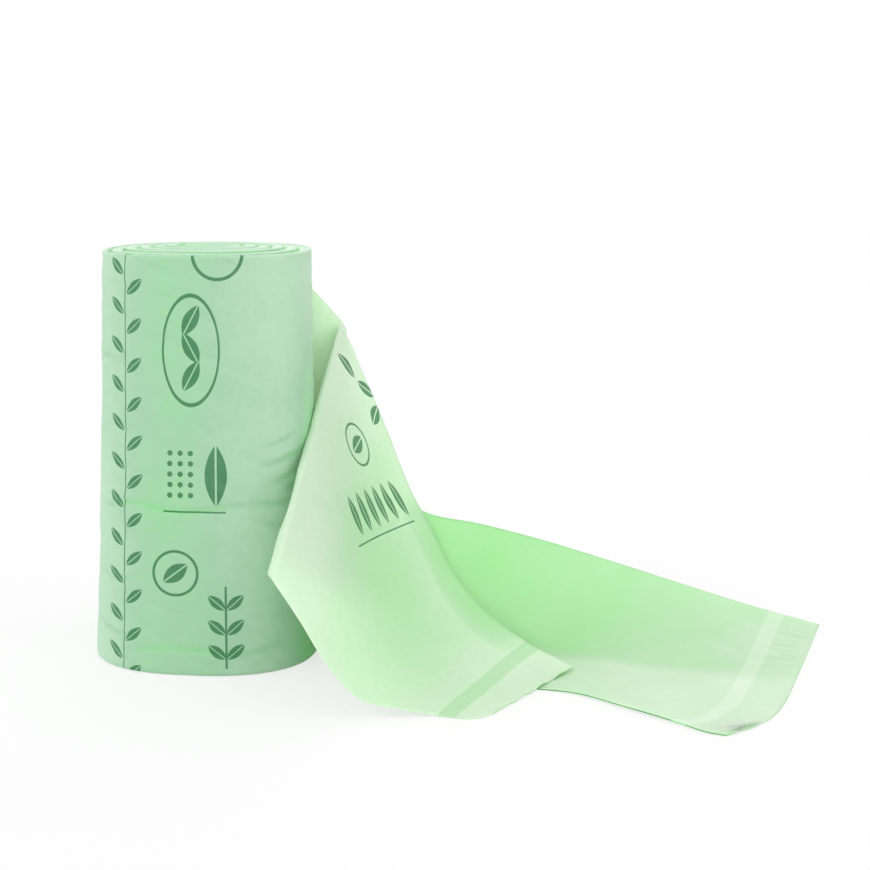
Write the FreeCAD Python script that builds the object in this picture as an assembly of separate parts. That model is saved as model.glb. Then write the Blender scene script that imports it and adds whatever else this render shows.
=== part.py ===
import FreeCAD, Part
import math
import os

# Bin bag roll: a coreless oval roll of film bags that stands on its end.
# Millimetres, +Z up, origin at the middle of the roll's base on the floor.
# The viewer stands at -Y, and the loose film lies towards +X.

# Wound roll
roll_height = 200.0
roll_width = 100.0
roll_depth = 84.0
roll_turn_deg = -7.0
oval_power = 2.4
oval_points = 24
lean_width = 8.0
lean_depth = 4.0
lean_shift = 2.2
foot_flare = 2.0
base_round = 2.0
top_round = 0.8

# Turns that show as a spiral gap in both ends
turn_pitch = 5.4
turn_gap = 0.9
turn_gap_depth = 2.5
turn_wall = 3.2
turn_count = 6.5
turn_start_deg = 100.0

# Film web of the bags, folded lengthwise, with the air between its layers
web_thickness = 0.6
web_clearance = 0.5

# Bag that is still joined to the roll: the ridge is the web's upper edge and
# the hem is its lower edge. Each station gives x from the roll's right side,
# y from the roll's middle, and the height as a share of the roll's height.
bag_wrap_deg = (132.0, 120.0, 108.0, 96.0, 84.0)
ridge_line = (
    (-22.0, 44.5, 0.965),
    (-3.0, 51.0, 0.873),
    (7.0, 57.5, 0.811),
    (11.6, 60.5, 0.781),
    (13.6, 58.0, 0.766),
    (12.8, 55.8, 0.770),
    (10.6, 55.0, 0.781),
    (11.2, 53.4, 0.777),
    (14.3, 52.7, 0.750),
    (21.8, 50.0, 0.664),
    (34.3, 45.0, 0.520),
    (49.0, 36.0, 0.345),
    (59.4, 26.0, 0.260),
    (70.5, 10.0, 0.170),
    (82.8, -4.0, 0.109),
    (94.7, -16.0, 0.074),
    (106.9, -26.0, 0.046),
    (126.5, -36.0, 0.010),
)
hem_line = (
    (-22.0, 45.0, 0.000),
    (2.0, 44.0, 0.002),
    (16.0, 34.0, 0.005),
    (24.0, 10.0, 0.030),
    (24.0, -22.0, 0.100),
    (14.0, -60.0, 0.215),
    (-12.6, -92.2, 0.316),
    (-10.3, -96.6, 0.311),
    (-6.2, -98.6, 0.285),
    (-2.8, -99.0, 0.260),
    (0.2, -99.2, 0.236),
    (3.0, -99.4, 0.214),
    (6.5, -99.2, 0.182),
    (15.3, -99.0, 0.110),
    (27.4, -97.0, 0.043),
    (45.0, -96.0, 0.018),
    (62.6, -95.5, 0.002),
    (80.1, -101.0, 0.0),
)
# Sag of the middle of each station below its straight line
bag_sag = (0.0,) * 9 + (1.0, 2.0, 4.0, 5.0, 4.0, 2.5, 1.0, 0.5, 0.0)
bag_steps = 4
bag_columns = 6

# First bag, parted from the next at its perforation, with its tail under it
far_line = (
    (42.0, 40.0, 0.330),
    (55.0, 36.0, 0.300),
    (84.0, 42.0, 0.260),
    (116.0, 48.0, 0.210),
    (153.0, 48.0, 0.152),
    (190.0, 44.0, 0.096),
    (225.0, 39.0, 0.045),
    (261.0, 34.0, 0.0),
)
near_line = (
    (68.0, -45.0, 0.0),
    (90.0, -55.0, 0.0),
    (105.0, -60.0, 0.0),
    (124.0, -68.0, 0.004),
    (145.0, -86.0, 0.006),
    (165.0, -104.0, 0.006),
    (180.0, -114.0, 0.008),
    (193.0, -117.0, 0.030),
)
valley_share = 0.55
valley_power = 1.5
loose_columns = 8
loose_steps = 3

half_web = web_thickness / 2
floor_level = half_web
# An edge or a face counts as level when its height changes by less than this.
level_slack = 0.01


def lean_share(z):
    """0 at the roll's top and 1 at its base."""
    return 1.0 - z / roll_height


def roll_half_width(z):
    low = lean_share(z)
    return roll_width / 2 + lean_width / 2 * low + foot_flare / 2 * low**6


def roll_half_depth(z):
    return roll_depth / 2 + lean_depth / 2 * lean_share(z)


def oval_point(angle, half_width, half_depth, z):
    """A point of the roll's oval, which is a little squarer than an ellipse."""
    shape = 2.0 / oval_power
    across = math.copysign(abs(math.cos(angle)) ** shape, math.cos(angle))
    along = math.copysign(abs(math.sin(angle)) ** shape, math.sin(angle))
    turn = math.radians(roll_turn_deg)
    x = half_width * across
    y = half_depth * along
    shift = -lean_shift * lean_share(z)
    return FreeCAD.Vector(
        x * math.cos(turn) - y * math.sin(turn) + shift,
        x * math.sin(turn) + y * math.cos(turn),
        z,
    )


def closed_oval(z, points=oval_points):
    """One closed smooth wire round the roll at a height."""
    ring = []
    for i in range(points):
        angle = 2 * math.pi * i / points
        ring.append(oval_point(angle, roll_half_width(z), roll_half_depth(z), z))
    curve = Part.BSplineCurve()
    curve.interpolate(ring, PeriodicFlag=True)
    return Part.Wire([curve.toShape()])


def roll_body():
    """The outside of the roll, wider at its foot."""
    levels = 8
    rings = [closed_oval(roll_height * i / levels) for i in range(levels + 1)]
    body = Part.makeLoft(rings, True, False)
    foot = [e for e in body.Edges if e.BoundBox.ZMax < level_slack]
    body = body.makeFillet(base_round, foot)
    rim = [e for e in body.Edges if e.BoundBox.ZMin > roll_height - level_slack]
    return body.makeFillet(top_round, rim)


def spiral_points(inset, z, steps_per_turn=16):
    """Points of one side of the spiral gap between the roll's turns."""
    steps = int(turn_count * steps_per_turn)
    points = []
    for i in range(steps + 1):
        turns = i / steps_per_turn
        shrink = turn_wall + inset + turn_pitch * turns
        angle = math.radians(turn_start_deg) + 2 * math.pi * turns
        points.append(
            oval_point(angle, roll_half_width(z) - shrink, roll_half_depth(z) - shrink, z)
        )
    return points


def spiral_gap(z):
    """The outline of the gap between turns, as it shows in one end."""
    sides = []
    for inset in (0.0, turn_gap):
        curve = Part.BSplineCurve()
        curve.interpolate(spiral_points(inset, z))
        sides.append(curve)
    outer, inner = sides
    edges = [
        outer.toShape(),
        Part.makeLine(outer.EndPoint, inner.EndPoint),
        inner.toShape(),
        Part.makeLine(inner.StartPoint, outer.StartPoint),
    ]
    return Part.Wire(Part.__sortEdges__(edges))


def gapped_end(end_face, depth):
    """The faces of one end of the roll, with the gap let into it."""
    z = end_face.CenterOfMass.z
    outline = spiral_gap(z)
    inward = FreeCAD.Vector(0, 0, depth)
    rim = Part.makeFace([end_face.OuterWire, outline], "Part::FaceMakerBullseye")
    bottom = Part.Face(outline).translated(inward)
    return [*rim.Faces, *outline.extrude(inward).Faces, bottom]


def wound_roll():
    body = roll_body()
    faces = []
    for face in body.Faces:
        z = face.CenterOfMass.z
        flat = face.BoundBox.ZLength < level_slack
        if not flat:
            faces.append(face)
        elif z > roll_height / 2:
            faces += gapped_end(face, -turn_gap_depth)
        else:
            faces += gapped_end(face, turn_gap_depth)
    return closed_solid(faces)


def closed_solid(faces):
    """One solid from faces that meet edge to edge."""
    shell = Part.Shell(faces)
    shell.sewShape()
    solid = Part.Solid(Part.Shell(shell.Faces))
    if solid.Volume < 0:
        solid.reverse()
    return solid


def station_point(station):
    """A point given from the roll's right side and as a share of its height."""
    x, y, share = station
    return FreeCAD.Vector(
        roll_width / 2 + x,
        y,
        floor_level + share * (roll_height - web_thickness),
    )


def wrap_point(angle_deg, z):
    """A point of the web where it still lies on the roll."""
    out = half_web + web_clearance
    angle = math.radians(angle_deg)
    return oval_point(angle, roll_half_width(z) + out, roll_half_depth(z) + out, z)


def draped_section(upper, lower, sag, columns):
    """A line across the web from its ridge to its hem, sagging in between."""
    line = []
    for j in range(columns):
        v = j / (columns - 1)
        point = upper * (1 - v) + lower * v
        point.z = max(floor_level, point.z - 4 * sag * v * (1 - v))
        line.append(point)
    return line


def valley_section(far, near, columns):
    """A line across the first bag: it slopes down to the floor and lies on it."""
    line = []
    for j in range(columns):
        v = j / (columns - 1)
        point = far * (1 - v) + near * v
        slope = max(0.0, 1 - v / valley_share) ** valley_power
        lift = max(0.0, (v - valley_share) / (1 - valley_share)) ** 2
        rise = (far.z - floor_level) * slope + (near.z - floor_level) * lift
        point.z = floor_level + max(0.0, rise)
        line.append(point)
    return line


def grid_normals(grid):
    """Unit normals of a grid of points, from its neighbours."""
    rows = len(grid)
    columns = len(grid[0])
    normals = []
    for i in range(rows):
        row = []
        for j in range(columns):
            along = grid[min(i + 1, rows - 1)][j] - grid[max(i - 1, 0)][j]
            across = grid[i][min(j + 1, columns - 1)] - grid[i][max(j - 1, 0)]
            row.append(along.cross(across).normalize())
        normals.append(row)
    return normals


def clamped_knots(count, degree):
    """Multiplicities and knots of an evenly spaced spline that meets its ends."""
    spans = count - degree
    mults = [degree + 1] + [1] * (spans - 1) + [degree + 1]
    return mults, [float(i) for i in range(spans + 1)]


def film_surface(poles, u_degree=3, v_degree=3):
    """A smooth face led by a grid of points, which it doesn't overshoot."""
    surface = Part.BSplineSurface()
    u_mults, u_knots = clamped_knots(len(poles), u_degree)
    v_mults, v_knots = clamped_knots(len(poles[0]), v_degree)
    surface.buildFromPolesMultsKnots(
        poles, u_mults, v_mults, u_knots, v_knots, False, False, u_degree, v_degree
    )
    return surface.toShape()


def film_sheet(grid):
    """A closed thin solid, half the web's thickness to each side of a grid."""
    normals = grid_normals(grid)
    front, back = [
        [
            [p + n * (side * half_web) for p, n in zip(points, row)]
            for points, row in zip(grid, normals)
        ]
        for side in (1, -1)
    ]
    faces = [film_surface(front), film_surface(back)]
    edges = [
        (front[0], back[0]),
        (front[-1], back[-1]),
        ([row[0] for row in front], [row[0] for row in back]),
        ([row[-1] for row in front], [row[-1] for row in back]),
    ]
    for one, other in edges:
        faces.append(film_surface([one, other], u_degree=1))
    return closed_solid(faces)


def smooth_line(points, steps):
    """A curve through points, as more points, with no overshoot at its turns."""
    last = len(points) - 1
    line = []
    for i in range(last):
        before, start = points[max(i - 1, 0)], points[i]
        end, after = points[i + 1], points[min(i + 2, last)]
        span = (end - start).Length
        leave = slope_at(before, start, end) * span
        arrive = slope_at(start, end, after) * span
        for k in range(steps):
            t = k / steps
            line.append(
                start * (2 * t**3 - 3 * t**2 + 1)
                + leave * (t**3 - 2 * t**2 + t)
                + end * (3 * t**2 - 2 * t**3)
                + arrive * (t**3 - t**2)
            )
    line.append(points[last])
    return line


def slope_at(before, here, after):
    """Direction of a curve at a point, led by the nearer neighbour."""
    one, two = here - before, after - here
    if one.Length < 1e-6:
        return two / two.Length
    if two.Length < 1e-6:
        return one / one.Length
    turn = one * (two.Length / one.Length) + two * (one.Length / two.Length)
    return turn / (one.Length + two.Length)


def pulled_bag():
    web_top = roll_height - half_web
    upper = [wrap_point(a, web_top) for a in bag_wrap_deg] + [station_point(p) for p in ridge_line]
    lower = [wrap_point(a, floor_level) for a in bag_wrap_deg] + [station_point(p) for p in hem_line]
    sags = [0.0] * len(bag_wrap_deg) + list(bag_sag)
    sag_line = [FreeCAD.Vector(i, sag, 0) for i, sag in enumerate(sags)]
    grid = []
    for ridge, hem, sag in zip(
        smooth_line(upper, bag_steps),
        smooth_line(lower, bag_steps),
        smooth_line(sag_line, bag_steps),
    ):
        grid.append(draped_section(ridge, hem, sag.y, bag_columns))
    return film_sheet(grid)


def loose_bag():
    far_edge = smooth_line([station_point(p) for p in far_line], loose_steps)
    near_edge = smooth_line([station_point(p) for p in near_line], loose_steps)
    grid = []
    for far, near in zip(far_edge, near_edge):
        grid.append(valley_section(far, near, loose_columns))
    return film_sheet(grid)


os.makedirs("parts", exist_ok=True)
pieces = {
    "wound_roll": wound_roll(),
    "pulled_bag": pulled_bag(),
    "loose_bag": loose_bag(),
}
for name, shape in pieces.items():
    shape.exportStep(f"parts/{name}.step")
    print(name, "volume", round(shape.Volume), "solids", len(shape.Solids), "valid", shape.isValid())
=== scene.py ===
import math

import bpy
import numpy as np
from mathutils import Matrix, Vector, noise


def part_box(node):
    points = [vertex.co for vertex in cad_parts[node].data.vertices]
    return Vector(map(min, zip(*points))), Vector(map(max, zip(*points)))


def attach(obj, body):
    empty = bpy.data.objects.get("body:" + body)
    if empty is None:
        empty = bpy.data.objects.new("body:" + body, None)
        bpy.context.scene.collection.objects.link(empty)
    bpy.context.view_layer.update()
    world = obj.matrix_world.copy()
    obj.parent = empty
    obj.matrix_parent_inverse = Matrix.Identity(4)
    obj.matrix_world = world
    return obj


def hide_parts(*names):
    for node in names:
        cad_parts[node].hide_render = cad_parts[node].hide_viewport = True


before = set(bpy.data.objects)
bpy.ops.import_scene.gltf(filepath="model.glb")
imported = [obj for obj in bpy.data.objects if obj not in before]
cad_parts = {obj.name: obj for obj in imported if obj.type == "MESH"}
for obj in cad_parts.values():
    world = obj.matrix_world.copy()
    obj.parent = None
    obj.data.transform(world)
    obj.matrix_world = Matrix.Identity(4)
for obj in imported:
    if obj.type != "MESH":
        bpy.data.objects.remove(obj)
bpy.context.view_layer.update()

# Wound roll: some 85 bags of thin compostable film, folded once lengthwise
# and wound without a core. The winding is a soft oval, and its two ends show
# the edges of the turns. The ink is printed on the film before it is wound.

roll_low, roll_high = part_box("wound_roll")
ROLL_HEIGHT = roll_high.z - roll_low.z
ROLL_HALF_WIDTH = 0.050
ROLL_HALF_DEPTH = 0.042
OVAL_POWER = 2.4
ROLL_TURN = math.radians(-7)
LEAN_WIDTH = 0.004
LEAN_DEPTH = 0.002
LEAN_SHIFT = 0.0022
FOOT_FLARE = 0.001
FOOT_ROUND = 0.0022
RIM_ROUND = 0.0012


def roll_oval(angle, z, inset=0.0):
    """Points of the roll's outside, or of a turn that lies inset from it."""
    angle, z, inset = np.broadcast_arrays(angle, z, inset)
    low = np.clip(1 - z / ROLL_HEIGHT, 0, 1)
    half_width = ROLL_HALF_WIDTH + LEAN_WIDTH * low + FOOT_FLARE * low**6 - inset
    half_depth = ROLL_HALF_DEPTH + LEAN_DEPTH * low - inset
    shape = 2 / OVAL_POWER
    cos, sin = np.cos(angle), np.sin(angle)
    x = half_width * np.sign(cos) * np.abs(cos) ** shape
    y = half_depth * np.sign(sin) * np.abs(sin) ** shape
    turn_cos, turn_sin = math.cos(ROLL_TURN), math.sin(ROLL_TURN)
    return np.stack(
        [x * turn_cos - y * turn_sin - LEAN_SHIFT * low, x * turn_sin + y * turn_cos, z], axis=-1
    )


def crinkle(points, scale, seed):
    """Smooth noise of about -1 to 1 at points, with bumps of one scale in metres."""
    flat = points.reshape(-1, 3) / scale + seed
    values = [noise.noise(Vector(p)) for p in flat]
    return np.array(values).reshape(points.shape[:-1])


def creases(points, scale, seed):
    """Sharp-edged folds of 0 to 1 at points, thin along lines and flat between."""
    return (1 - np.minimum(1, 3.5 * np.abs(crinkle(points, scale, seed)))) ** 2


def mesh_of_grids(name, grids, uvs, tones, closed):
    """One mesh from grids of points that share no points, to be welded along their rims by weld.
    """
    vertices, faces, corner_uvs, all_tones = [], [], [], []
    for grid, uv, tone, ring in zip(grids, uvs, tones, closed):
        start = len(vertices)
        rows, columns = grid.shape[:2]
        vertices += [tuple(p) for p in grid.reshape(-1, 3)]
        all_tones += list(tone.reshape(-1))
        for i in range(rows - 1):
            for j in range(columns if ring else columns - 1):
                k = (j + 1) % columns
                faces.append(
                    (
                        start + i * columns + j,
                        start + i * columns + k,
                        start + (i + 1) * columns + k,
                        start + (i + 1) * columns + j,
                    )
                )
                for a, b in ((i, j), (i, j + 1), (i + 1, j + 1), (i + 1, j)):
                    corner_uvs.append(uv[a, b] if b < uv.shape[1] else uv[a, k])
    mesh = bpy.data.meshes.new(name)
    mesh.from_pydata(vertices, [], faces)
    layer = mesh.uv_layers.new(name="flat")
    layer.data.foreach_set("uv", np.array(corner_uvs, dtype=np.float32).ravel())
    tone_layer = mesh.attributes.new("tone", "FLOAT", "POINT")
    tone_layer.data.foreach_set("value", np.array(all_tones, dtype=np.float32))
    mesh.polygons.foreach_set("use_smooth", [True] * len(faces))
    mesh.update()
    made = bpy.data.objects.new(name, mesh)
    bpy.context.scene.collection.objects.link(made)
    return made


def weld(made, reach=1e-6):
    """Joins the rims of a mesh's grids and turns its faces outward."""
    bpy.context.view_layer.objects.active = made
    bpy.ops.object.select_all(action="DESELECT")
    made.select_set(True)
    bpy.ops.object.mode_set(mode="EDIT")
    bpy.ops.mesh.select_all(action="SELECT")
    bpy.ops.mesh.remove_doubles(threshold=reach)
    bpy.ops.mesh.normals_make_consistent(inside=False)
    bpy.ops.object.mode_set(mode="OBJECT")


# The side, from the foot to the rim, with angle 0 at +X and its seam at the back.
SIDE_COLUMNS = 300
SIDE_ROWS = 124
BACK = math.pi / 2
side_angles = BACK + np.linspace(0, 2 * math.pi, SIDE_COLUMNS, endpoint=False)
side_heights = ROLL_HEIGHT * np.linspace(0, 1, SIDE_ROWS)
# Rows crowd at the foot and the rim, where the film rounds over.
edge_rows = np.array([0.0, 0.0004, 0.0009, 0.0015, 0.0022])
side_heights = np.unique(
    np.concatenate([edge_rows, side_heights[2:-1], ROLL_HEIGHT - edge_rows])
)
angle_grid, height_grid = np.meshgrid(side_angles, side_heights)
smooth_side = roll_oval(angle_grid, height_grid)

above_foot = np.clip(1 - height_grid / FOOT_ROUND, 0, 1)
below_rim = np.clip(1 - (ROLL_HEIGHT - height_grid) / RIM_ROUND, 0, 1)
rounding = FOOT_ROUND * (1 - np.sqrt(1 - above_foot**2)) + RIM_ROUND * (
    1 - np.sqrt(1 - below_rim**2)
)
# Soft dents are longer than they are wide, and fine folds run aslant.
BROAD_DENT, FINE_DENT, FOLD_DEPTH = 0.00055, 0.00034, 0.00038
stretched = smooth_side * np.array([1.0, 1.0, 0.45])
dents = BROAD_DENT * crinkle(stretched, 0.034, 3.1) + FINE_DENT * crinkle(smooth_side, 0.010, 8.7)
slanted = smooth_side @ np.array([[1.0, 0.0, 0.5], [0.0, 1.0, 0.5], [0.2, 0.2, 0.75]])
dents = dents - FOLD_DEPTH * creases(slanted * np.array([0.35, 0.35, 1.0]), 0.014, 5.2)

# Creases that run round the film, where it was nipped while it was wound:
# the height, the angle of their middle, their half length in angle, and depth.
nip_creases = (
    (0.0810, -1.75, 0.95, 0.00055),
    (0.0835, -0.70, 0.36, 0.00060),
    (0.1030, -0.62, 0.34, 0.00060),
    (0.0945, -0.52, 0.30, 0.00060),
    (0.0890, -0.40, 0.22, 0.00050),
    (0.0735, -0.58, 0.34, 0.00050),
    (0.1120, -0.66, 0.26, 0.00045),
    (0.0120, -1.30, 0.90, 0.00050),
    (0.0190, -2.35, 0.45, 0.00045),
    (0.1500, -2.50, 0.35, 0.00035),
    (0.0460, -2.20, 0.40, 0.00035),
    (0.1200, 0.90, 0.50, 0.00050),
    (0.1240, 2.30, 0.45, 0.00045),
    (0.0600, 2.60, 0.60, 0.00050),
    (0.1620, 3.00, 0.40, 0.00040),
)
NIP_WIDTH, NIP_SWAY = 0.0011, 0.0016
VALLEY_DEEPENING, LIP_HEIGHT, LIP_OFFSET = 1.3, 0.6, 1.8
wrapped_angle = (angle_grid + math.pi) % (2 * math.pi) - math.pi
nip_valleys = np.zeros_like(angle_grid)
for nip_height, nip_angle, nip_reach, nip_depth in nip_creases:
    sway = NIP_SWAY * np.sin(7 * wrapped_angle + 40 * nip_height)
    away = (height_grid - nip_height - sway) / NIP_WIDTH
    along = np.clip(1 - ((wrapped_angle - nip_angle) / nip_reach) ** 2, 0, 1)
    valley = VALLEY_DEEPENING * nip_depth * along * np.exp(-(away**2))
    nip_lip = LIP_HEIGHT * nip_depth * along * np.exp(-((away - LIP_OFFSET) ** 2))
    dents = dents - valley + nip_lip
    nip_valleys = nip_valleys + valley
side_fade = np.clip(height_grid / 0.004, 0, 1) * np.clip((ROLL_HEIGHT - height_grid) / 0.003, 0, 1)
side_points = roll_oval(angle_grid, height_grid, rounding - dents * side_fade)

# The print is placed by the distance round the roll from its front, and height.
outline = roll_oval(np.linspace(BACK, BACK + 2 * math.pi, SIDE_COLUMNS + 1), ROLL_HEIGHT / 2)
round_steps = np.linalg.norm(np.diff(outline, axis=0), axis=1)
round_length = np.concatenate([[0], np.cumsum(round_steps)])
ROLL_GIRTH = round_length[-1]
side_u = np.repeat((round_length - ROLL_GIRTH / 2)[None], len(side_heights), axis=0)
side_v = np.repeat(side_heights[:, None], SIDE_COLUMNS + 1, axis=1)
side_uv = np.stack([side_u, side_v], axis=-1)

# Painted shade: the green is made deeper over the front, which gets less lamp
# light than the sides, at the right edge, where the pulled bag keeps light off,
# low on the right, for the pulled bag's shadow and the green light it throws back,
# and in the nip creases.
SIDE_PALE, FRONT_PAINTED_SHADE, LOW_RIGHT_PAINTED_SHADE, RIGHT_EDGE_PAINTED_SHADE = 0.17, 0.24, 0.28, 0.22
CREASE_SHADE_PER_METRE = 260
front_shade_band = np.exp(-(((wrapped_angle + 1.68) / 0.62) ** 2))
right_side_shade = np.clip(1 - np.abs(wrapped_angle + 0.15) / 1.05, 0, 1) ** 1.3
right_edge_shade = np.exp(-(((wrapped_angle + 0.05) / 0.34) ** 2))
low_down = np.clip((0.165 - height_grid) / 0.13, 0, 1)
below_top = np.clip((0.185 - height_grid) / 0.05, 0, 1)
side_tone_with_shade = SIDE_PALE + FRONT_PAINTED_SHADE * front_shade_band + LOW_RIGHT_PAINTED_SHADE * right_side_shade * low_down
side_tone_with_shade = side_tone_with_shade + RIGHT_EDGE_PAINTED_SHADE * right_edge_shade * below_top
side_tone_with_shade = side_tone_with_shade + CREASE_SHADE_PER_METRE * nip_valleys

# The ends: the turns stand at uneven heights, higher to the middle, with gaps
# between, and each turn is made of finer layers. A sink below 0 is a rise.
TURN_PITCH = 0.0066
FIRST_TURN = 0.0017
TURN_START = math.radians(100)
LAYERS_A_TURN = 5
GAP_WIDTH = 0.0006
CLOSED_GAP, OPEN_GAP = 0.0006, 0.0026
GAP_WANDER = 0.0009
LAYER_WAVE, LAYER_GROOVE = 0.00018, 0.0003
END_FADE = 0.0006
FOOT_SINK_SHARE, FOOT_SINK_LIMIT = 0.6, 0.0024
turn_numbers = (-1, 0, 1, 2, 3, 4, 5, 6)
turn_sinks = (0.0008, 0.0002, -0.0008, -0.0014, -0.0012, -0.0020, -0.0017, -0.0021)
# Painted shade in the gaps and the layer grooves, against the pale tops of the turns.
END_PALE, GAP_PAINTED_SHADE, OPEN_GAP_PAINTED_SHADE, LAYER_GROOVE_SHADE = 0.02, 0.66, 0.80, 250
SHADE_PAST_GAP, SHADE_TO_GAP = 0.0007, 0.0010


def roll_end(top):
    """One end: turns of film as ridges of uneven height with gaps between."""
    rings, level = (150, ROLL_HEIGHT) if top else (40, 0.0)
    # The innermost ring closes up to this much short of the middle.
    eye = 0.0004
    deepest = ROLL_HALF_DEPTH + (0 if top else LEAN_DEPTH) - eye
    rim = RIM_ROUND if top else FOOT_ROUND
    angle, inset = np.meshgrid(side_angles, np.linspace(rim, deepest, rings))
    flat = roll_oval(angle, np.full_like(angle, level), inset)
    round_share = (angle - TURN_START) / (2 * math.pi)
    seed = 2.2 if top else 6.4
    wander = GAP_WANDER * crinkle(flat, 0.022, seed)
    turn = (inset + wander - FIRST_TURN) / TURN_PITCH - round_share
    # Places along the winding, so that a turn keeps its height where it goes round.
    wound = np.floor(turn) + round_share
    layer = turn * LAYERS_A_TURN
    layer_wound = np.floor(layer) + LAYERS_A_TURN * round_share
    past_gap = (turn % 1) * TURN_PITCH
    to_gap = TURN_PITCH - past_gap
    off_gap = np.minimum(past_gap, to_gap)
    # Some gaps stand open and others have closed up.
    openness = np.clip(0.45 + 1.5 * crinkle(flat, 0.017, seed + 3), 0.0, 1)
    turn_sink = np.interp(wound, turn_numbers, turn_sinks)
    gap_sink = (CLOSED_GAP + OPEN_GAP * openness) * np.exp(-((off_gap / GAP_WIDTH) ** 2))
    layer_wave = LAYER_WAVE * (1 + np.sin(2.2 * layer_wound))
    layer_sink = layer_wave + LAYER_GROOVE * (1 - np.sin(math.pi * (layer % 1)) ** 0.6)
    inside = np.clip((inset - rim) / END_FADE, 0, 1)
    sink = inside * (turn_sink + gap_sink + layer_sink)
    if not top:
        sink = np.clip(FOOT_SINK_SHARE * sink, 0, FOOT_SINK_LIMIT)
    flat[..., 2] = level - sink if top else level + sink
    # Painted shade: deeper green in the gaps, darkest where open, and in the layer grooves.
    in_gap = np.exp(-((past_gap / SHADE_PAST_GAP) ** 2)) + np.exp(-((to_gap / SHADE_TO_GAP) ** 2))
    gap_shade = in_gap * (GAP_PAINTED_SHADE + OPEN_GAP_PAINTED_SHADE * openness**2)
    tone = END_PALE + inside * (gap_shade + LAYER_GROOVE_SHADE * layer_sink)
    return (flat, tone) if top else (flat[::-1], tone[::-1])


top_end, top_tone = roll_end(True)
foot_end, foot_tone = roll_end(False)


def plain_uv(grid):
    """A map for a grid that carries no print, far from every motif."""
    return grid[..., :2] + np.array([1.0, 0.0])


roll_film = mesh_of_grids(
    "roll_film",
    [foot_end, side_points, top_end],
    [plain_uv(foot_end), side_uv, plain_uv(top_end)],
    [foot_tone, side_tone_with_shade, top_tone],
    [True, True, True],
)
weld(roll_film, 2e-5)


class Paint:
    """One output in a material's node tree, which sums can be written with."""

    def __init__(self, tree, socket=None):
        self.tree = tree
        self.socket = socket

    def node(self, kind, settings, sockets, output=0):
        """A new node: its settings first, then its sockets by name or number."""
        made = self.tree.nodes.new(kind)
        for name, value in settings.items():
            if name == "stops":
                ramp = made.color_ramp.elements
                while len(ramp) < len(value):
                    ramp.new(0.5)
                for element, (place, colour) in zip(ramp, value):
                    element.position = place
                    element.color = colour
            else:
                setattr(made, name, value)
        for name, value in sockets.items():
            socket = made.inputs[name]
            if isinstance(value, Paint):
                self.tree.links.new(value.socket, socket)
            else:
                socket.default_value = value
        return Paint(self.tree, made.outputs[output] if made.outputs else None)

    def maths(self, operation, *values, clamp=False):
        settings = {"operation": operation, "use_clamp": clamp}
        return self.node("ShaderNodeMath", settings, dict(enumerate(values)))

    def __add__(self, other):
        return self.maths("ADD", self, other)

    def __sub__(self, other):
        return self.maths("SUBTRACT", self, other)

    def __rsub__(self, other):
        return self.maths("SUBTRACT", other, self)

    def __mul__(self, other):
        return self.maths("MULTIPLY", self, other)

    def __truediv__(self, other):
        return self.maths("DIVIDE", self, other)

    def __abs__(self):
        return self.maths("ABSOLUTE", self)

    def __or__(self, other):
        return self.maths("MAXIMUM", self, other)

    def __and__(self, other):
        return self.maths("MINIMUM", self, other)

    __radd__ = __add__
    __rmul__ = __mul__

    def inked(self, edge=0.00018):
        """1 where this distance inside a motif's outline is above 0."""
        return self.maths("ADD", self / edge, 0.5, clamp=True)


def srgb(red, green, blue):
    """A colour as the eye sees it, from 0 to 255, in the values that a shader takes."""
    linear = [((c / 255 + 0.055) / 1.055) ** 2.4 for c in (red, green, blue)]
    return (*linear, 1.0)


INK = srgb(46, 122, 72)


def leaf(u, v, middle, length, width, turn):
    """Distance inside a pointed leaf with a bare rib, in metres."""
    cos, sin = math.cos(turn), math.sin(turn)
    along = (u - middle[0]) * cos + (v - middle[1]) * sin
    across = abs((v - middle[1]) * cos - (u - middle[0]) * sin)
    share = along / (length / 2)
    blade = width / 2 * (1 - share * share) - across
    rib = across - width * 0.045
    return blade & rib


def disc(u, v, middle, radius):
    """Distance inside a disc."""
    du, dv = u - middle[0], v - middle[1]
    squared = du * du + dv * dv
    return radius - squared.maths("SQRT", squared)


def hoop(u, v, middle, radius, width):
    """Distance inside a thin ring."""
    return width / 2 - abs(disc(u, v, middle, radius))


def bar(u, v, middle, half_width, half_height):
    """Distance inside an upright bar."""
    return (half_width - abs(u - middle[0])) & (half_height - abs(v - middle[1]))


def repeated(value, pitch):
    """A coordinate that starts again at every pitch, from -pitch/2 to pitch/2."""
    return (value.maths("FRACT", value / pitch) - 0.5) * pitch


# A welded band runs across both bags a little way in from their open ends.
SEAL_INSET = 0.0225
SEAL_WIDTH = 0.0080
SEAL_EDGE = 0.0009


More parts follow.
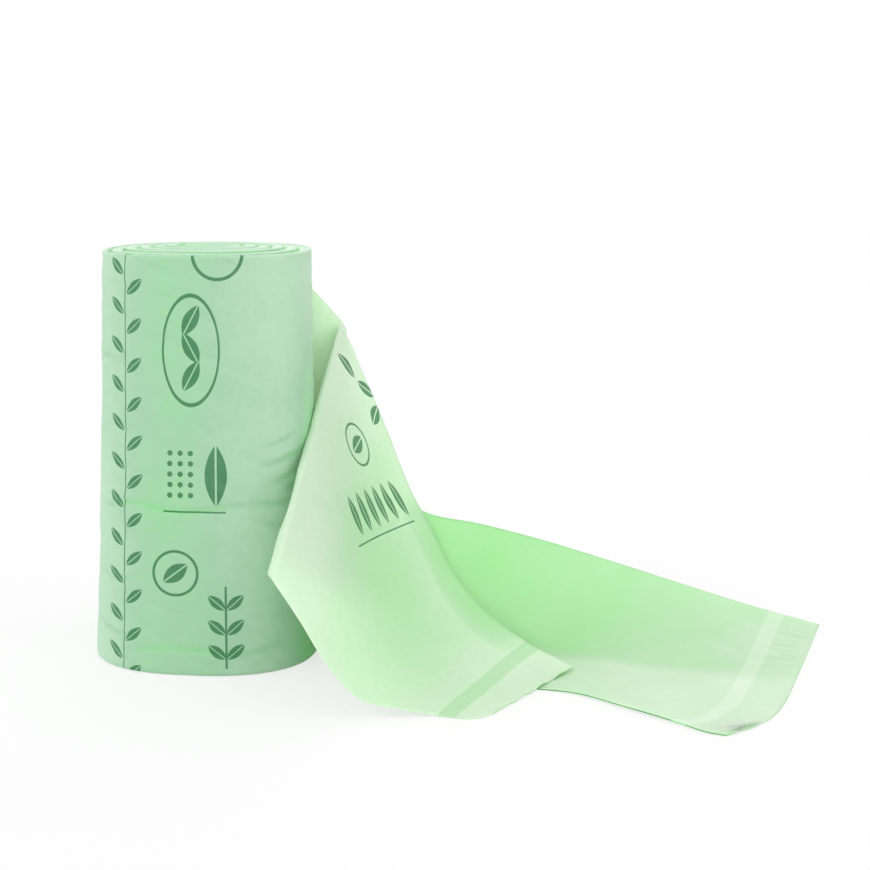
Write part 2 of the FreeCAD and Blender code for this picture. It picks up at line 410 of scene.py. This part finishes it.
def film_material(name, motifs, shades, glow, seal_depth=0.0):
    """Thin matt film in shades from pale to deep by its tone, which carries painted shade and
    glow, with printed motifs.

    glow is how much of the light goes through the film, and seal_depth is how
    much deeper its welded band is than the rest.
    """
    material = bpy.data.materials.new(name)
    material.use_nodes = True
    tree = material.node_tree
    tree.nodes.clear()
    start = Paint(tree)
    flat = start.node("ShaderNodeUVMap", {"uv_map": "flat"}, {})
    u = start.node("ShaderNodeSeparateXYZ", {}, {0: flat}, "X")
    v = start.node("ShaderNodeSeparateXYZ", {}, {0: flat}, "Y")
    place = start.node("ShaderNodeTexCoord", {}, {}, "Object")
    tone = start.node("ShaderNodeAttribute", {"attribute_name": "tone"}, {}, "Fac")
    cloud = start.node(
        "ShaderNodeTexNoise", {}, {"Vector": place, "Scale": 24.0, "Detail": 2.0}, "Fac"
    )
    fine = start.node(
        "ShaderNodeTexNoise", {}, {"Vector": place, "Scale": 260.0, "Detail": 3.0}, "Fac"
    )
    depth = tone + (cloud - 0.5) * 0.20 + (fine - 0.5) * 0.10
    if seal_depth:
        sealed = (SEAL_WIDTH / 2 - abs(u - SEAL_INSET)).inked(SEAL_EDGE)
        depth = depth + sealed * seal_depth
    film = start.node("ShaderNodeValToRGB", {"stops": shades}, {"Fac": depth})
    if motifs:
        ink_cover = motifs(u, v) * (0.84 + 0.14 * fine)
        film = start.node(
            "ShaderNodeMix", {"data_type": "RGBA"}, {"Factor": ink_cover, 6: film, 7: INK}, 2
        )
    crease = start.node(
        "ShaderNodeTexNoise",
        {"noise_type": "RIDGED_MULTIFRACTAL"},
        {"Vector": place, "Scale": 48.0, "Detail": 3.0, "Roughness": 0.42, "Distortion": 0.8},
        "Fac",
    )
    relief = start.node(
        "ShaderNodeBump",
        {},
        {"Strength": 0.50, "Distance": 0.0006, "Height": crease * 0.6 + fine * 0.3},
        "Normal",
    )
    surface = start.node(
        "ShaderNodeBsdfPrincipled",
        {},
        {
            "Base Color": film,
            "Roughness": 0.50 + (cloud - 0.5) * 0.16,
            "Normal": relief,
            "Specular IOR Level": 0.40,
            "Subsurface Weight": glow,
            "Subsurface Scale": 0.0022,
            "Subsurface Radius": (0.8, 1.0, 0.8),
        },
    )
    start.node("ShaderNodeOutputMaterial", {}, {"Surface": surface}, 0)
    return material


def tall_hoop(u, v, middle, radius, stretch, width):
    """Distance inside a thin upright oval ring."""
    return hoop(u, (v - middle[1]) / stretch, (middle[0], 0.0), radius, width)


def roll_motifs(u, v):
    """Print on the roll: a sprig up its height, leaves, rings and a patch of dots."""
    stem_u, leaf_pitch = -0.0315, 0.0185
    stem = 0.00030 - abs(u - stem_u)
    left_v, right_v = repeated(v, leaf_pitch), repeated(v + leaf_pitch / 2, leaf_pitch)
    left_leaf = leaf(u, left_v, (stem_u - 0.0054, 0.0), 0.0122, 0.0046, math.radians(140))
    right_leaf = leaf(u, right_v, (stem_u + 0.0054, 0.0), 0.0122, 0.0046, math.radians(40))
    ink = (stem | left_leaf | right_leaf).inked()
    # An oval ring round three leaves, high on the roll.
    ring_middle = (0.0030, 0.1560)
    ink = ink | tall_hoop(u, v, ring_middle, 0.0135, 1.9, 0.0010).inked()
    for rise, turn in ((-0.0120, 62), (0.0010, 118), (0.0140, 62)):
        ink = ink | leaf(
            u, v, (ring_middle[0], ring_middle[1] + rise), 0.0165, 0.0072, math.radians(turn)
        ).inked()
    # A patch of dots beside a slim upright leaf.
    dots = disc(repeated(u, 0.0050), repeated(v, 0.0050), (0.0, 0.0), 0.0013)
    patch = bar(u, v, (-0.0025, 0.0975), 0.0074, 0.0124)
    ink = ink | (dots & patch).inked()
    ink = ink | leaf(u, v, (0.0145, 0.0970), 0.0300, 0.0105, math.radians(90)).inked()
    ink = ink | bar(u, v, (0.0040, 0.0795), 0.0150, 0.0004).inked()
    # A ring with a leaf, and a bold upright sprig to its right, low on the roll.
    ink = ink | hoop(u, v, (-0.0050, 0.0500), 0.0105, 0.0013).inked()
    ink = ink | leaf(u, v, (-0.0050, 0.0500), 0.0150, 0.0078, math.radians(38)).inked()
    for rise in (0.0120, 0.0240, 0.0360):
        for side in (-1, 1):
            middle = (0.0185 + side * 0.0042, rise)
            ink = ink | leaf(u, v, middle, 0.0110, 0.0050, math.radians(90 - side * 48)).inked()
    ink = ink | bar(u, v, (0.0185, 0.0240), 0.0005, 0.0200).inked()
    # Half a ring is cut off by the rim.
    return ink | hoop(u, v, (0.0160, 0.2010), 0.0120, 0.0016).inked()


# Shades by tone: the deeper stops give the painted shade, and the bright green at 0.62 paints
# light shining through the film where it lies in shade.
ROLL_SHADES = (
    (0.0, srgb(200, 228, 202)),
    (0.36, srgb(162, 203, 169)),
    (0.62, srgb(142, 220, 143)),
    (0.85, srgb(110, 206, 112)),
    (1.0, srgb(52, 120, 58)),
)
roll_film.data.materials.append(film_material("roll_film_print", roll_motifs, ROLL_SHADES, 0.3))
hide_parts("wound_roll")
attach(roll_film, "root")

# Pulled bag: the next bag, still joined to the roll. Its folded web comes off
# the back of the roll, turns over at a crease, flops to the right and lies on
# the floor to its sealed end. It is four layers of film with air between.

WEB = 0.0006
HALF_WEB = WEB / 2
wrap_degrees = (132, 120, 108, 96, 84)
WRAP_CLEARANCE = 0.0005
# Each station: millimetres right of the roll's side, millimetres back from
# its middle, and the height as a share of the roll's.
ridge_line = (
    (-22, 44.5, 0.965), (-3, 51, 0.873), (7, 57.5, 0.811), (11.6, 60.5, 0.781),
    (13.6, 58, 0.766), (12.8, 55.8, 0.770), (10.6, 55, 0.781), (11.2, 53.4, 0.777),
    (14.3, 52.7, 0.750), (21.8, 50, 0.664), (34.3, 45, 0.520), (49, 36, 0.345),
    (59.4, 26, 0.260), (70.5, 10, 0.170), (82.8, -4, 0.109), (94.7, -16, 0.074),
    (106.9, -26, 0.046), (126.5, -36, 0.010),
)
hem_line = (
    (-22, 45, 0.0), (2, 44, 0.002), (16, 34, 0.005), (24, 10, 0.030),
    (24, -22, 0.100), (14, -60, 0.215), (-12.6, -92.2, 0.316), (-10.3, -96.6, 0.311),
    (-6.2, -98.6, 0.285), (-2.8, -99, 0.260), (0.2, -99.2, 0.236), (3, -99.4, 0.214),
    (6.5, -99.2, 0.182), (15.3, -99, 0.110), (27.4, -97, 0.043), (45, -96, 0.018),
    (62.6, -95.5, 0.002), (80.1, -101, 0.0),
)
web_sag = (0,) * 9 + (1, 2, 4, 5, 4, 2.5, 1, 0.5, 0)
BAG_STEPS = 11
BAG_COLUMNS = 56


def station(place):
    """A guide line's station as a point in metres."""
    right, back, share = place
    return np.array(
        [ROLL_HALF_WIDTH + right / 1000, back / 1000, HALF_WEB + share * (ROLL_HEIGHT - WEB)]
    )


def eased_line(points, steps):
    """A smooth curve through points that doesn't overshoot at its turns."""
    points = [np.asarray(p, dtype=float) for p in points]
    last = len(points) - 1
    slopes = []
    for i, here in enumerate(points):
        before, after = here - points[max(i - 1, 0)], points[min(i + 1, last)] - here
        one, two = np.linalg.norm(before), np.linalg.norm(after)
        if one < 1e-9:
            slopes.append(after / two)
        elif two < 1e-9:
            slopes.append(before / one)
        else:
            slopes.append((before * two / one + after * one / two) / (one + two))
    line = []
    for i in range(last):
        start, end = points[i], points[i + 1]
        span = np.linalg.norm(end - start)
        for k in range(steps):
            t = k / steps
            line.append(
                start * (2 * t**3 - 3 * t**2 + 1)
                + slopes[i] * span * (t**3 - 2 * t**2 + t)
                + end * (3 * t**2 - 2 * t**3)
                + slopes[i + 1] * span * (t**3 - t**2)
            )
    line.append(points[last])
    return np.array(line)


def grid_lengths(grid):
    """Distances along a grid's rows and across its columns, from its first corner."""
    along = np.linalg.norm(np.diff(grid, axis=0), axis=2)
    across = np.linalg.norm(np.diff(grid, axis=1), axis=2)
    along = np.concatenate([np.zeros((1, grid.shape[1])), np.cumsum(along, axis=0)])
    across = np.concatenate([np.zeros((grid.shape[0], 1)), np.cumsum(across, axis=1)], axis=1)
    return along, across


def grid_normals(grid):
    """Unit normals of a grid of points."""
    normals = np.cross(np.gradient(grid, axis=0), np.gradient(grid, axis=1))
    return normals / np.linalg.norm(normals, axis=2, keepdims=True)


def film_sheet(name, grid, uv, tone, rim_tones, mouth=0.0):
    """A closed thin sheet, half the web's thickness to each side of a grid.

    rim_tones are those of its first and last rows and first and last columns, where
    a deep one paints the shadow along an edge, and mouth is how far its upper side
    stands off where its layers part.
    """
    offset = grid_normals(grid) * HALF_WEB
    front, back = grid + offset, grid - offset
    front[..., 2] += mouth
    grids = [front, back[:, ::-1]]
    uvs = [uv, uv[:, ::-1]]
    tones = [tone, tone[:, ::-1]]
    takes = (lambda g: g[0], lambda g: g[-1], lambda g: g[:, 0], lambda g: g[:, -1])
    for take, rim_tone in zip(takes, rim_tones):
        upper, lower, edge_tone = take(front), take(back), take(tone)
        inner = np.full_like(edge_tone, rim_tone)
        near_upper = 0.85 * upper + 0.15 * lower
        near_lower = 0.15 * upper + 0.85 * lower
        grids.append(np.stack([upper, near_upper, near_lower, lower]))
        uvs.append(np.stack([take(uv)] * 4))
        tones.append(np.stack([edge_tone, inner, inner, edge_tone]))
    made = mesh_of_grids(name, grids, uvs, tones, [False] * len(grids))
    weld(made, 2e-6)
    return made


def corner_inset(distance, radius):
    """How far a rounded corner lies inside a square one, by distance from its end."""
    near = np.clip(distance, 0, radius)
    return radius - np.sqrt(radius**2 - (radius - near) ** 2)


def lengths_to_end(line):
    """Distances from each point of a line to its last one."""
    steps = np.linalg.norm(np.diff(line, axis=0), axis=1)
    return np.concatenate([np.cumsum(steps[::-1])[::-1], [0]])


web_top = ROLL_HEIGHT - HALF_WEB
wrap_inset = -(HALF_WEB + WRAP_CLEARANCE)
wrap_angles = np.radians(wrap_degrees)
ridge = eased_line(
    [*roll_oval(wrap_angles, web_top, wrap_inset), *map(station, ridge_line)], BAG_STEPS
)
hem = eased_line(
    [*roll_oval(wrap_angles, HALF_WEB, wrap_inset), *map(station, hem_line)], BAG_STEPS
)
sag = eased_line(
    [(i, s / 1000) for i, s in enumerate((0,) * len(wrap_degrees) + web_sag)], BAG_STEPS
)[:, 1]
# The open end's front corner is rounded.
CORNER_RADIUS = 0.010
web_widths = np.linalg.norm(ridge - hem, axis=1)
width_share = 1 - corner_inset(lengths_to_end(hem), CORNER_RADIUS) / web_widths
share = np.linspace(0, 1, BAG_COLUMNS)[None, :, None] * width_share[:, None, None]
bag_grid = ridge[:, None] * (1 - share) + hem[:, None] * share
bag_grid[..., 2] -= 4 * sag[:, None] * share[..., 0] * (1 - share[..., 0])
bag_grid[..., 2] = np.maximum(bag_grid[..., 2], HALF_WEB)

bag_along, bag_across = grid_lengths(bag_grid)
to_end = bag_along[-1:] - bag_along

# Small folds: soft ones over the panel, and tight ones at the open end.
off_roll = np.clip((bag_along - 0.105) / 0.04, 0, 1)
off_bag_edge = np.minimum(bag_across, bag_across[:, -1:] - bag_across)
bag_edge = np.clip(off_bag_edge / 0.012, 0, 1)
bag_dents = 0.0008 * crinkle(bag_grid, 0.040, 4.4) + 0.00030 * crinkle(bag_grid, 0.013, 9.9)
bag_dents += 0.0004 * creases(bag_grid * np.array([1.0, 0.5, 0.5]), 0.022, 12.3)
bag_skirt = np.clip(1.3 - to_end / 0.018, 0, 1) * bag_edge
bag_pleats = np.sin(bag_across / 0.0026 + 2 * crinkle(bag_grid, 0.02, 1.1))
bag_dents += 0.0005 * bag_skirt * bag_pleats
bag_dents *= off_roll * (0.2 + 0.8 * bag_edge)
bag_grid = bag_grid + grid_normals(bag_grid) * bag_dents[..., None]
bag_grid[..., 2] = np.maximum(bag_grid[..., 2], HALF_WEB)

# Painted shade: the panel's middle, turned from the light, is made deeper than
# its edges; the strip along the ridge lies over other film, which deepens its
# green, with painted shadow of that film; and the part behind the crease is
# made deeper, in the panel's shade.
PANEL_PALE, MIDDLE_PAINTED_SHADE, OVER_FILM_DEPTH_AND_SHADOW, BEHIND_CREASE_SHADE = 0.06, 0.34, 0.36, 0.02
panel_middle_shade = np.exp(-(((to_end - 0.100) / 0.060) ** 2) - ((bag_across - 0.055) / 0.045) ** 2)
over_film = np.clip(1 - bag_across / 0.018, 0, 1) ** 0.5 * np.clip((to_end - 0.020) / 0.02, 0, 1)
over_film = over_film * np.clip((0.135 - to_end) / 0.03, 0, 1)
behind_crease = np.clip((0.128 - bag_along) / 0.03, 0, 1)
panel_tone_with_shade = PANEL_PALE + MIDDLE_PAINTED_SHADE * panel_middle_shade + OVER_FILM_DEPTH_AND_SHADOW * over_film
panel_tone_with_shade = panel_tone_with_shade + BEHIND_CREASE_SHADE * behind_crease
bag_uv = np.stack([to_end, bag_across], axis=-1)
# The open end's rim tone of 0.5 is a painted shadow under its raised edge.
pulled_film = film_sheet("pulled_film", bag_grid, bag_uv, panel_tone_with_shade, (0.3, 0.5, 0.05, 0.0))


def panel_motifs(u, v):
    """Print on the panel: a run of slim leaves, a ring with a leaf and three loose leaves."""
    run = leaf(u, repeated(v, 0.0105), (0.1300, 0.0), 0.0230, 0.0062, math.radians(18))
    ink = (run & bar(u, v, (0.1300, 0.0420), 0.0130, 0.0314)).inked()
    ink = ink | bar(u, v, (0.1160, 0.0420), 0.0004, 0.0314).inked()
    ink = ink | hoop(u, v, (0.1620, 0.0400), 0.0110, 0.0013).inked()
    ink = ink | leaf(u, v, (0.1620, 0.0400), 0.0160, 0.0085, math.radians(112)).inked()
    for middle, turn in (((0.1890, 0.0050), 55), ((0.1745, 0.0065), 125), ((0.2030, 0.0160), 20)):
        ink = ink | leaf(u, v, middle, 0.0165, 0.0078, math.radians(turn)).inked()
    return ink


# Shades by tone: the deeper stops give the painted shade and the deeper green of layered film, and
# the bright green at 0.60 paints light shining through the film in shade.
BAG_SHADES = (
    (0.0, srgb(212, 244, 206)),
    (0.30, srgb(182, 226, 177)),
    (0.60, srgb(156, 222, 146)),
    (0.85, srgb(112, 204, 110)),
    (1.0, srgb(52, 116, 56)),
)
pulled_film.data.materials.append(
    film_material("pulled_film_print", panel_motifs, BAG_SHADES, 0.7, 0.24)
)
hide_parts("pulled_bag")
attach(pulled_film, "root")

# Loose bag: the first bag, torn off at its perforation. Its tail lies under
# the pulled bag, its far edge stands up in a low fold, and its sealed end
# lies on the floor with its mouth a little open. This side has no print.

far_line = (
    (42, 40, 0.330), (55, 36, 0.300), (84, 42, 0.260), (116, 48, 0.210),
    (153, 48, 0.152), (190, 44, 0.096), (225, 39, 0.045), (261, 34, 0.0),
)
near_line = (
    (68, -45, 0.0), (90, -55, 0.0), (105, -60, 0.0), (124, -68, 0.004),
    (145, -86, 0.006), (165, -104, 0.006), (180, -116, 0.003), (193, -121.5, 0.002),
)
VALLEY_SHARE = 0.55
VALLEY_POWER = 1.5
LOOSE_STEPS = 20
LOOSE_COLUMNS = 90

far_edge = eased_line([station(p) for p in far_line], LOOSE_STEPS)
near_edge = eased_line([station(p) for p in near_line], LOOSE_STEPS)
loose_share = np.linspace(0, 1, LOOSE_COLUMNS)
far_part, near_part = (1 - loose_share)[:, None], loose_share[:, None]
loose_grid = far_edge[:, None] * far_part + near_edge[:, None] * near_part
slope = np.clip(1 - loose_share / VALLEY_SHARE, 0, 1) ** VALLEY_POWER
lift = np.clip((loose_share - VALLEY_SHARE) / (1 - VALLEY_SHARE), 0, 1) ** 2
rise = (far_edge[:, None, 2] - HALF_WEB) * slope + (near_edge[:, None, 2] - HALF_WEB) * lift
loose_grid[..., 2] = HALF_WEB + np.maximum(rise, 0)

# The open end bows outward, and its front corner is rounded off.
end_places = (0.0, 0.32, 0.54, 0.70, 0.80, 0.88, 0.94, 1.0)
end_bows = (0.0, 0.0033, 0.0052, 0.0062, 0.0054, 0.0024, -0.0020, -0.0090)
BOW_START = 0.72
BOW_STEPS = 12
end_line = loose_grid[-1, -1] - loose_grid[-1, 0]
outward = np.array([-end_line[1], end_line[0], 0.0]) / np.hypot(end_line[0], end_line[1])
length_share = np.linspace(0, 1, len(loose_grid))
bow_growth = np.clip((length_share - BOW_START) / (1 - BOW_START), 0, 1) ** 1.6
bow_line = eased_line(list(zip(end_places, end_bows)), BOW_STEPS)
end_bow = np.interp(loose_share, bow_line[:, 0], bow_line[:, 1])
loose_grid += bow_growth[:, None, None] * end_bow[:, None] * outward

loose_along, loose_across = grid_lengths(loose_grid)
loose_to_end = loose_along[-1:] - loose_along
off_loose_edge = np.minimum(loose_across, loose_across[:, -1:] - loose_across)
loose_edge = np.clip(off_loose_edge / 0.014, 0, 1)
loose_dents = 0.0008 * crinkle(loose_grid, 0.045, 7.3) + 0.0004 * crinkle(loose_grid, 0.014, 2.9)
loose_dents += 0.0006 * creases(loose_grid * np.array([0.5, 1.0, 1.0]), 0.030, 6.6)
loose_skirt = np.clip(1.4 - loose_to_end / 0.020, 0, 1)
loose_pleats = np.sin(loose_across / 0.0024 + 2.5 * crinkle(loose_grid, 0.02, 5.5))
loose_dents += 0.0007 * loose_skirt * loose_pleats
loose_dents *= 0.1 + 0.9 * loose_edge
loose_grid = loose_grid + grid_normals(loose_grid) * np.abs(loose_dents)[..., None]
loose_grid[..., 2] = np.maximum(loose_grid[..., 2], HALF_WEB)

# Painted shade: the slope up to the far edge, turned from the light, is made deeper
# green than the part flat on the floor, less so near the end, and the tail under
# the pulled bag is made deeper, in its shade.
SLOPE_PAINTED_SHADE, END_PALER, FLAT_DEEP, TAIL_PAINTED_SHADE, LIP_PAINTED_SHADOW = 0.42, 0.20, 0.12, 0.10, 0.7
flat_part = np.clip((loose_share - VALLEY_SHARE + 0.06) / 0.10, 0, 1)
near_end = np.clip(1 - loose_to_end / 0.10, 0, 1)
loose_tone_with_shade = (SLOPE_PAINTED_SHADE - END_PALER * near_end) * (1 - flat_part) + FLAT_DEEP * flat_part
loose_tone_with_shade = loose_tone_with_shade + TAIL_PAINTED_SHADE * np.clip(1 - loose_along / 0.12, 0, 1)
loose_uv = np.stack([loose_to_end, loose_across], axis=-1)
# The bag's mouth stands open a little at its near corner, and its lip is made
# darker with painted shadow under the upper layer.
MOUTH_HEIGHT, MOUTH_REACH, MOUTH_START = 0.0008, 0.030, 0.72
LIP_REACH, LIP_START = 0.006, 0.86
corner_share = np.clip((loose_share - MOUTH_START) / (1 - MOUTH_START), 0, 1)
corner_rise = np.sin(math.pi * corner_share**2.4) ** 2
mouth = MOUTH_HEIGHT * corner_rise * np.clip(1 - loose_to_end / MOUTH_REACH, 0, 1) ** 2
lip_share = np.clip((loose_share - LIP_START) / (1 - LIP_START), 0, 1)
lip = np.clip(1 - loose_to_end / LIP_REACH, 0, 1) * np.sin(math.pi * lip_share)
loose_tone_with_shade = loose_tone_with_shade + LIP_PAINTED_SHADOW * lip
# Rim tones: the end's rim of 0.62 paints shadow in the open mouth, and the near edge's rim of 0.95
# paints the contact shadow under it.
loose_film = film_sheet(
    "loose_film", loose_grid, loose_uv, loose_tone_with_shade, (0.3, 0.62, 0.1, 0.95), mouth
)
loose_film.data.materials.append(film_material("loose_film_plain", None, BAG_SHADES, 0.7, -0.12))
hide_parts("loose_bag")
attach(loose_film, "root")


# Studio: a plain pale floor that keeps the soft shadow, a white surround,
# broad lamps from the left, the front, the right, above and behind at a like
# level, and the camera at the photograph's viewing angle.

FLOOR_SIZE = 6.0
FLOOR_WHITENING = 0.70
SURROUND_LIGHT = 0.52
bpy.ops.mesh.primitive_plane_add(size=FLOOR_SIZE, location=(0, 0, 0))
floor = bpy.context.object
floor.name = "floor"
floor_material = bpy.data.materials.new("floor_paint")
floor_material.use_nodes = True
floor_tree = floor_material.node_tree
floor_tree.nodes.clear()


def seen_directly(start):
    """1 for the camera's own rays and for those that mirror or pass through."""
    kinds = ("Is Camera Ray", "Is Glossy Ray", "Is Transmission Ray")
    rays = [start.node("ShaderNodeLightPath", {}, {}, kind) for kind in kinds]
    return rays[0] | rays[1] | rays[2]


floor_start = Paint(floor_tree)
white_glow = floor_start.node("ShaderNodeEmission", {}, {"Color": (1, 1, 1, 1), "Strength": 1.0})
white_paint = floor_start.node("ShaderNodeBsdfDiffuse", {}, {"Color": (0.93, 0.935, 0.93, 1)})
floor_mix = floor_start.node(
    "ShaderNodeMixShader",
    {},
    {0: seen_directly(floor_start) * FLOOR_WHITENING, 1: white_paint, 2: white_glow},
)
floor_shown = floor_tree.nodes.new("ShaderNodeOutputMaterial")
floor_tree.links.new(floor_mix.socket, floor_shown.inputs["Surface"])
floor.data.materials.append(floor_material)

world = bpy.data.worlds.new("surround")
bpy.context.scene.world = world
world.use_nodes = True
world.node_tree.nodes.clear()
sky_start = Paint(world.node_tree)
sky_light = sky_start.node(
    "ShaderNodeBackground", {}, {"Color": (1, 1, 1, 1), "Strength": SURROUND_LIGHT}
)
sky_seen = sky_start.node("ShaderNodeBackground", {}, {"Color": (1, 1, 1, 1), "Strength": 1.0})
sky_mix = sky_start.node(
    "ShaderNodeMixShader", {}, {0: seen_directly(sky_start), 1: sky_light, 2: sky_seen}
)
sky_shown = world.node_tree.nodes.new("ShaderNodeOutputWorld")
world.node_tree.links.new(sky_mix.socket, sky_shown.inputs["Surface"])


def soft_lamp(name, toward, level, spread):
    """A far, broad lamp: the way its light travels, its level and its spread in degrees."""
    data = bpy.data.lights.new(name, "SUN")
    data.energy = level * math.pi
    data.angle = math.radians(spread)
    lamp = bpy.data.objects.new(name, data)
    lamp.rotation_euler = Vector(toward).to_track_quat("-Z", "Y").to_euler()
    bpy.context.scene.collection.objects.link(lamp)


soft_lamp("left_lamp", (1.0, 0.25, -0.62), 0.25, 50)
soft_lamp("front_lamp", (0.05, 1.0, -0.15), 0.24, 30)
soft_lamp("right_lamp", (-1.0, 0.30, -0.75), 0.20, 60)
soft_lamp("top_lamp", (0.05, 0.30, -1.0), 0.18, 70)
soft_lamp("back_lamp", (-0.15, -1.0, -0.45), 0.20, 60)

FOCAL_PIXELS = 1600
FRAME_PIXELS = 870
SENSOR = 36.0
SHIFT_PIXELS = 120
CAMERA_TILT = 83
camera_data = bpy.data.cameras.new("camera")
camera_data.sensor_width = SENSOR
camera_data.lens = FOCAL_PIXELS * SENSOR / FRAME_PIXELS
camera_data.shift_y = -SHIFT_PIXELS / FRAME_PIXELS
camera = bpy.data.objects.new("camera", camera_data)
camera.location = (0.1104, -0.7755, 0.2626)
camera.rotation_euler = (math.radians(CAMERA_TILT), 0, 0)
bpy.context.scene.collection.objects.link(camera)
bpy.context.scene.camera = camera
bpy.context.scene.view_settings.view_transform = "Standard"
